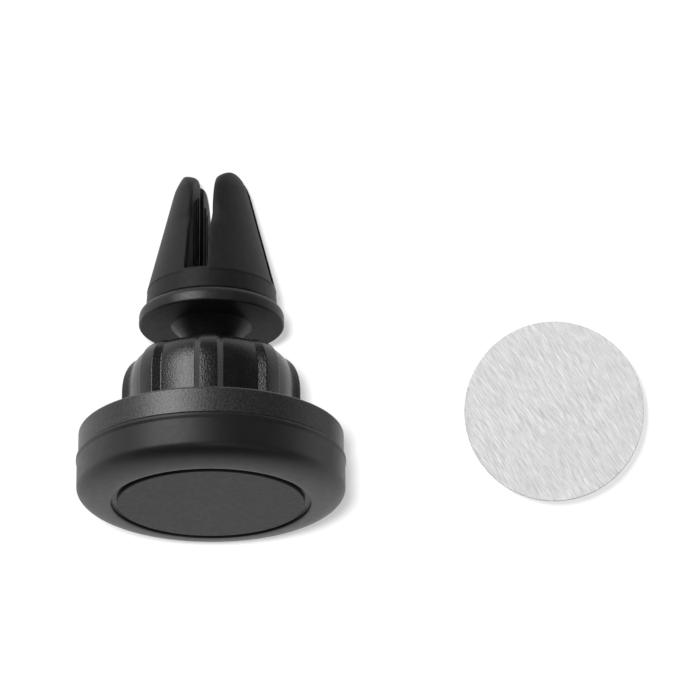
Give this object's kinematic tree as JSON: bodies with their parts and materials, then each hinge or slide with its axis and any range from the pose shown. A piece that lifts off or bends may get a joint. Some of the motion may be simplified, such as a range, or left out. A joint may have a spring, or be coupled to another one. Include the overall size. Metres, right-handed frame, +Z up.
{
  "type": "car phone mount",
  "caption": "Round magnetic car vent mount for a phone, with ball joint, collar nut and rubber vent claw, laid on its side beside its adhesive steel plate.",
  "frame": {"origin": "on the table, at the middle of the footprint of the mount and its plate together", "axes": "+Z up from the table the set lies on; +X from the mount to the steel plate; +Y along the table from the magnetic head towards the claw, whose own axis points along +Y and down at the angle the mount lies at"},
  "size_m": [0.0858, 0.056, 0.0403],
  "materials": {
    "soft_touch": "satin",
    "face_rubber": "satin",
    "textured_shell": "textured",
    "nut_plastic": "leather-grained gloss",
    "stud_plastic": "matte",
    "claw_rubber": "matte",
    "inner_plastic": "matte",
    "silicone": "matte",
    "acetal": "satin",
    "adhesive": "foam tape",
    "liner_paper": "waxed paper",
    "magnet_nickel": "nickel plate",
    "yoke_steel": "zinc plated",
    "screw_steel": "zinc plated",
    "brushed_steel": "brushed"
  },
  "bodies": {
    "head": {"front_cover": "soft_touch", "face_pad": "face_rubber", "pad_tape": "adhesive", "magnet_tray": "inner_plastic", "yoke_plate": "yoke_steel", "rear_shell": "textured_shell", "yoke_screws": "screw_steel", "ball_socket": "stud_plastic", "magnet_1": "magnet_nickel", "magnet_2": "magnet_nickel", "magnet_3": "magnet_nickel", "magnet_4": "magnet_nickel", "magnet_5": "magnet_nickel", "magnet_6": "magnet_nickel"},
    "seat": {"ball_seat": "silicone"},
    "stud": {"ball_stud": "stud_plastic", "claw_screw": "screw_steel"},
    "claw": {"claw_core": "inner_plastic", "claw_boot": "claw_rubber"},
    "slip_ring": {"slip_ring": "acetal"},
    "nut": {"collar_nut": "nut_plastic"},
    "plate": {"steel_plate": "brushed_steel", "plate_tape": "adhesive", "plate_liner": "liner_paper"}
  },
  "joints": [
    {"name": "ball_swivel", "type": "hinge", "parent": "head", "child": "seat", "pos_m": [-0.02281, -0.00492, 0.01596], "axis": [0, 0.9404, -0.3401], "continuous": true},
    {"name": "ball_tilt", "type": "hinge", "parent": "seat", "child": "stud", "pos_m": [-0.02281, -0.00492, 0.01596], "axis": [1, 0, 0], "range_deg": [-22, 22]},
    {"name": "claw_spin", "type": "hinge", "parent": "stud", "child": "claw", "pos_m": [-0.02281, 0.00665, 0.01177], "axis": [0, 0.9404, -0.3401], "continuous": true},
    {"name": "clamp_travel", "type": "slide", "parent": "head", "child": "slip_ring", "axis": [0, 0.9404, -0.3401], "range_m": [0, 0.000755]},
    {"name": "nut_turn", "type": "hinge", "parent": "slip_ring", "child": "nut", "pos_m": [-0.02281, -0.0115, 0.01834], "axis": [0, 0.9404, -0.3401], "range_deg": [0, 180]},
    {"name": "plate_lift", "type": "slide", "parent": "head", "child": "plate", "axis": [0, 0, 1], "range_m": [0, 0.05]}
  ],
  "couplings": [
    {"joint": "clamp_travel", "follows": "nut_turn", "m_per_rad": 0.00023873}
  ]
}
